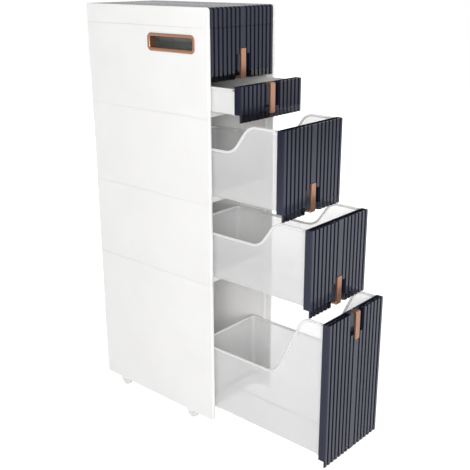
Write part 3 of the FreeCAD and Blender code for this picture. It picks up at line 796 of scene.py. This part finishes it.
def add_box_shell(bm, number, front, half, rear, bottom, top):
    """Open shell with a wall, its top under the rim's bead and its corners round the floor given
    painted shade.
    """
    add_block(bm, Vector((-half, front, bottom)), Vector((half, rear, top)))
    at_rear = edges_at(bm, lambda co: near(co.y, rear))
    upright = [edge for edge in at_rear if near(edge.verts[0].co.x, edge.verts[1].co.x)]
    round_edges(bm, upright, REAR_RADIUS, CORNER_STEPS)
    roof = [face for face in bm.faces if face.normal.z > FLAT]
    bmesh.ops.delete(bm, geom=roof, context="FACES_ONLY")
    round_edges(bm, edges_at(bm, lambda co: near(co.z, bottom)), FLOOR_RADIUS, segments=3)
    cut_over_slope(bm, number, front)
    at_top = [vert for vert in bm.verts if near(vert.co.z, top)]
    for vert in at_top:
        if not near(vert.co.y, front):
            vert.co.z -= WALL_SHORT
    bend_to_rim(number, at_top, front, top)
    face_outwards(bm, -Z_AXIS)
    bmesh.ops.solidify(bm, geom=bm.faces[:], thickness=BOX_WALL)
    bm.normal_update()
    # Painted shade: leaning faces low down, round the floor, get the darker finish.
    for face in bm.faces:
        low_down = face.calc_center_median().z < bottom + BOX_WALL + FLOOR_RADIUS
        leaning = SHADE_TILT_MIN < face.normal.z < SHADE_TILT_MAX
        face.material_index = THICK_SHADE if low_down and leaning else WALL


def add_box_fittings(bm, front, half, rear, bottom, top):
    """Collars behind the front, the stop under the rear edge and the line along the floor."""
    for side in (-1, 1):
        inner, outer = sorted((side * half, side * (half + BEAD_OUT)))
        add_block(bm, Vector((inner, front, bottom)), Vector((outer, front + COLLAR_DEPTH, top)))
    stop_rear = rear - STOP_INSET
    add_block(
        bm, Vector((-STOP_HALF, stop_rear - STOP_THICKNESS, bottom - STOP_DROP)),
        Vector((STOP_HALF, stop_rear, bottom)),
    )
    floor_top = bottom + BOX_WALL
    line = add_block(
        bm, Vector((-FLOOR_LINE_HALF, front + BOX_WALL, floor_top)),
        Vector((FLOOR_LINE_HALF, rear - BOX_WALL, floor_top + FLOOR_LINE_HIGH)),
    )
    # The floor line gets the darker painted shade as well.
    for face in {face for vert in line for face in vert.link_faces}:
        face.material_index = THICK_SHADE


def make_box(number):
    low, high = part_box(f"drawer_box_{number}")
    half = high.x - BEAD_OUT
    rear = high.y - BEAD_OUT
    bottom = low.z + STOP_DROP
    bm = bmesh.new()
    add_box_shell(bm, number, low.y, half, rear, bottom, high.z)
    add_bead(bm, number, low.y, half, rear, high.z)
    add_box_fittings(bm, low.y, half, rear, bottom, high.z)
    piece = finished(
        f"milky_box_{number}", bm, f"drawer_{number}", f"drawer_box_{number}",
        BOX_FINISHES if number in SLOPES else SHALLOW_BOX_FINISHES,
    )
    soften(piece, BOX_EDGE)
    print(piece.name, "faces", len(piece.data.polygons))


for number in range(1, 6):
    make_box(number)

# %% [markdown]
# ## The lid's cover
# The dark cover wraps over the upper front edge with the same ribs as the fronts. Cutting the ribs into
# a bent plate would need two sets of cuts that meet in the bend. Here the line of ribs is pulled up,
# spun a quarter turn about the corner's axis and pulled back along the top, so that the ribs follow the
# bend without a break.

# %% Make the lid's cover
LID_CORNER = 0.007
LID_CORNER_STEPS = 10


def make_lid_cover():
    low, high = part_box("lid_cover")
    bm = bmesh.new()
    line = rib_line(bm, high.x, low.y, low.z)
    line = push_edges(bm, line, Z_AXIS * (high.z - LID_CORNER - low.z))
    pivot = Vector((0, low.y + LID_CORNER, high.z - LID_CORNER))
    turn = bmesh.ops.spin(
        bm, geom=line, cent=pivot, axis=X_AXIS, angle=-math.pi / 2, steps=LID_CORNER_STEPS,
        use_merge=False,
    )
    push_edges(bm, edges_of(turn["geom_last"]), Y_AXIS * (high.y - pivot.y))
    face_outwards(bm, Z_AXIS)
    # The lid's grooves get the nearly black painted shade, its crests the polished finish.
    for face in bm.faces:
        centre = face.calc_center_median()
        forward = max(low.y + LID_CORNER - centre.y, 0)
        upward = max(centre.z - high.z + LID_CORNER, 0)
        depth = LID_CORNER - math.hypot(forward, upward)
        face.material_index = POLISHED if depth < GROOVE_DEPTH / 4 else SHADED
    piece = finished("fluted_lid_cover", bm, "cabinet", "lid_cover", FRONT_FINISHES)
    thicken(piece, FRONT_SKIN)
    soften(piece, FRONT_EDGE)
    print(piece.name, "faces", len(piece.data.polygons))


make_lid_cover()

# %% [markdown]
# ## The lid's caps
# Two white caps close the cover at its ends. They are blocks with the cover's corner, and could be kept
# as they are in the frame. Made anew they get a finer bend, and a softer edge that catches the light.

# %% Make the lid's caps
CAP_EDGE = 0.001


def make_lid_cap(side):
    low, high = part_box(f"lid_cap_{side}")
    bm = bmesh.new()
    add_block(bm, low, high)
    corner = edges_at(bm, lambda co: near(co.y, low.y) and near(co.z, high.z))
    round_edges(bm, corner, LID_CORNER, LID_CORNER_STEPS)
    piece = finished(
        f"rounded_lid_cap_{side}", bm, "cabinet", f"lid_cap_{side}", [white_plastic]
    )
    soften(piece, CAP_EDGE, segments=3)
    print(piece.name, "wide", round((high.x - low.x) * 1000, 1), "mm")


for side in ("left", "right"):
    make_lid_cap(side)

# %% [markdown]
# ## Carry grips
# A plated frame is let into each side of the top module. Its rim lies on the panel and its sleeve runs
# through the wall. A torus could be flattened into the rim, but one face is enough to start: its
# corners are rounded, a few insets that rise and fall make the rounded rim, and the rim's inner edge is
# pushed in to make the sleeve.

# %% Make the two grips
GRIP_CORNER = 0.012
GRIP_RIM = 0.008
GRIP_PROUD = 0.002
GRIP_EDGE = 0.001
RIM_STEPS = [(0.0007, 0.0011), (0.0012, 0.0006), (0.0022, 0.0003),
             (0.002, -0.0003), (0.0013, -0.0008), (0.0006, -0.0009)]
SLEEVE_WALL = 0.003


def add_sleeve(bm, rim_edges, low, high, inward):
    """Pushes the rim's inner edge in, gives it a wall, and returns the edge where that ends."""
    middle = (low + high) / 2
    half_y = (high.y - low.y) / 2 - GRIP_RIM
    half_z = (high.z - low.z) / 2 - GRIP_RIM
    sleeve_end = push_edges(bm, rim_edges, inward)
    sleeve_outside = push_edges(bm, sleeve_end, Vector((0, 0, 0)))
    for vert in {vert for edge in sleeve_outside for vert in edge.verts}:
        vert.co.y = middle.y + (vert.co.y - middle.y) * (half_y + SLEEVE_WALL) / half_y
        vert.co.z = middle.z + (vert.co.z - middle.z) * (half_z + SLEEVE_WALL) / half_z
    return push_edges(bm, sleeve_outside, -inward)


def make_grip(side, sign):
    low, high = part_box(f"grip_bezel_{side}")
    face_x = low.x if sign < 0 else high.x
    sleeve_x = high.x if sign < 0 else low.x
    panel_x = face_x - sign * GRIP_PROUD
    bm = bmesh.new()
    corners = [(low.y, low.z), (high.y, low.z), (high.y, high.z), (low.y, high.z)]
    verts = [bm.verts.new((panel_x, y, z)) for y, z in corners]
    bm.faces.new(verts)
    round_corners(bm, verts, GRIP_CORNER, segments=6)
    slot = bm.faces[:]
    slot[0].normal_update()
    if slot[0].normal.x * sign < 0:
        bmesh.ops.reverse_faces(bm, faces=slot)
    for width, rise in RIM_STEPS:
        bmesh.ops.inset_region(
            bm, faces=slot, thickness=width, depth=rise, use_boundary=True, use_even_offset=True
        )
    outer = [edge for edge in bm.edges if edge.is_boundary]
    inner = list(slot[0].edges)
    bmesh.ops.delete(bm, geom=slot, context="FACES_ONLY")
    sleeve_back = add_sleeve(bm, inner, low, high, X_AXIS * (sleeve_x - panel_x))
    bmesh.ops.bridge_loops(bm, edges=outer + sleeve_back)
    bmesh.ops.recalc_face_normals(bm, faces=bm.faces[:])
    piece = finished(
        f"plated_grip_{side}", bm, "cabinet", f"grip_bezel_{side}", [copper_plate]
    )
    soften(piece, GRIP_EDGE, segments=3)
    print(piece.name, "faces", len(piece.data.polygons))


make_grip("left", -1)
make_grip("right", 1)

# %% [markdown]
# ## Pieces that stay as they are in the frame
# The side and back panels, the shelves, the tray under the lowest drawer, the casters and the fasteners
# have their right shape already, so modelling them anew would gain nothing. They get the same finishes
# as the pieces round them. On those that show, modifiers join the loose triangles and soften the edges.

# %% Finish the kept nodes
KEPT_FINISHES = {
    "side_panel": white_plastic,
    "back_panel": white_plastic,
    "divider": white_plastic,
    "base_tray": white_plastic,
    "lid_frame": white_plastic,
    "panel_pegs": white_plastic,
    "drawer_screws": white_plastic,
    "caster_fork": fork_plastic,
    "caster_wheel": wheel_plastic,
    "caster_axle": fastener_steel,
    "caster_stems": fastener_steel,
}
SOFT_KEPT = ("side_panel", "divider", "base_tray", "caster_fork")
KEPT_EDGE = 0.0004
dressed = 0
for name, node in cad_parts.items():
    for start, finish in KEPT_FINISHES.items():
        if name.startswith(start):
            node.data.materials.clear()
            node.data.materials.append(finish)
            dressed += 1
    if name.startswith(SOFT_KEPT):
        weld = node.modifiers.new("join_triangles", "WELD")
        weld.merge_threshold = SAME
        soften(node, KEPT_EDGE)
print("kept nodes with a finish:", dressed)

# %% [markdown]
# ## Studio floor
# The photograph is a plain product shot on white. The floor takes the shadow, so it can't simply be a
# white glow. It is pale, and glows only for rays that see it directly, off gloss or through clear
# plastic: less under the unit, where the shadow falls, and fully further out, where it has to merge
# with the background.

# %% Make the floor
FLOOR_REACH = 6.0
SHADOW_REACH = 0.75
GLOW_IN_SHADOW = 0.62
bm = bmesh.new()
bmesh.ops.create_grid(bm, x_segments=1, y_segments=1, size=FLOOR_REACH)
floor_mesh = bpy.data.meshes.new("studio_floor")
bm.to_mesh(floor_mesh)
bm.free()
floor = bpy.data.objects.new("studio_floor", floor_mesh)
bpy.context.scene.collection.objects.link(floor)


def seen_directly(tree):
    """1 for rays from the camera, off gloss or through clear plastic, 0 for rays that gather light."""
    path = tree.nodes.new("ShaderNodeLightPath")
    seen = path.outputs["Is Camera Ray"]
    for kind in ("Is Glossy Ray", "Is Transmission Ray"):
        either = tree.nodes.new("ShaderNodeMath")
        either.operation = "MAXIMUM"
        tree.links.new(seen, either.inputs[0])
        tree.links.new(path.outputs[kind], either.inputs[1])
        seen = either.outputs[0]
    return seen


floor_finish, tree, shader = new_finish("pale_studio_floor")
shader.inputs["Base Color"].default_value = (0.86, 0.86, 0.86, 1)
shader.inputs["Roughness"].default_value = 0.9
shader.inputs["Specular IOR Level"].default_value = 0.0
shader.inputs["Emission Color"].default_value = (1, 1, 1, 1)
place = tree.nodes.new("ShaderNodeTexCoord")
distance = tree.nodes.new("ShaderNodeVectorMath")
distance.operation = "LENGTH"
tree.links.new(place.outputs["Object"], distance.inputs[0])
lift = tree.nodes.new("ShaderNodeMapRange")
lift.inputs["From Min"].default_value = SHADOW_REACH
lift.inputs["From Max"].default_value = 2 * SHADOW_REACH
lift.inputs["To Min"].default_value = GLOW_IN_SHADOW
lift.inputs["To Max"].default_value = 1.0
tree.links.new(distance.outputs["Value"], lift.inputs["Value"])
glow = tree.nodes.new("ShaderNodeMath")
glow.operation = "MULTIPLY"
tree.links.new(lift.outputs["Result"], glow.inputs[0])
tree.links.new(seen_directly(tree), glow.inputs[1])
tree.links.new(glow.outputs[0], shader.inputs["Emission Strength"])
floor_mesh.materials.append(floor_finish)
print("floor reaches", FLOOR_REACH, "m each way")

# %% [markdown]
# ## Studio light
# The light of the photograph is soft and comes from the front left. A large soft lamp on that side
# makes the key light, a weaker one fills from the right, and a third lights the sides that the
# photograph doesn't show. The world adds an even base. It is white where it is seen, but it lights the
# unit at less than half of that, because a world of full strength would flatten every shape.

# %% World and lamps
WORLD_LIGHT = 0.45
AIM = Vector((0, -0.1, 0.5))

world = bpy.data.worlds.new("white_studio")
bpy.context.scene.world = world
world.use_nodes = True
tree = world.node_tree
background = tree.nodes["Background"]
background.inputs["Color"].default_value = (1, 1, 1, 1)
level = tree.nodes.new("ShaderNodeMapRange")
level.inputs["To Min"].default_value = WORLD_LIGHT
level.inputs["To Max"].default_value = 1.0
tree.links.new(seen_directly(tree), level.inputs["Value"])
tree.links.new(level.outputs["Result"], background.inputs["Strength"])
bpy.context.scene.view_settings.view_transform = "Standard"


def add_lamp(name, place, size, power):
    """Round soft lamp at a place, turned towards the unit."""
    lamp = bpy.data.lights.new(name, "AREA")
    lamp.shape = "DISK"
    lamp.size = size
    lamp.energy = power
    holder = bpy.data.objects.new(name, lamp)
    holder.location = place
    holder.rotation_euler = (AIM - Vector(place)).to_track_quat("-Z", "Y").to_euler()
    bpy.context.scene.collection.objects.link(holder)


add_lamp("key_lamp", (-2.9, -2.75, 1.6), size=1.8, power=108)
add_lamp("fill_lamp", (2.4, -2.6, 1.4), size=2.4, power=12)
add_lamp("rear_lamp", (1.9, 3.0, 0.55), size=0.9, power=28)
print("lamps:", len(bpy.data.lights))

# %% [markdown]
# ## Camera
# A camera could be moved by eye until the view looks right. The photograph's perspective gives it more
# exactly: the cabinet's edges meet at three vanishing points, and those fix the direction and the lens.
# The place follows from the cabinet's size. The camera was held very slightly tilted.

# %% Camera
CAMERA_PLACE = (-1.3438, -1.3664, 1.0961)
CAMERA_ELEVATION = math.radians(18.713)
CAMERA_AZIMUTH = math.radians(-48.408)
CAMERA_ROLL = math.radians(-0.206)
LENS = 60
SENSOR_WIDTH = 36
camera_data = bpy.data.cameras.new("photo_camera")
camera_data.lens = LENS
camera_data.sensor_width = SENSOR_WIDTH
camera = bpy.data.objects.new("photo_camera", camera_data)
camera.location = CAMERA_PLACE
aim = Euler((math.pi / 2 - CAMERA_ELEVATION, 0, CAMERA_AZIMUTH)).to_matrix()
camera.rotation_euler = (aim @ Matrix.Rotation(CAMERA_ROLL, 3, "Z")).to_euler()
bpy.context.scene.collection.objects.link(camera)
bpy.context.scene.camera = camera
print("camera:", round(camera.location.length, 2), "m from the unit's foot")
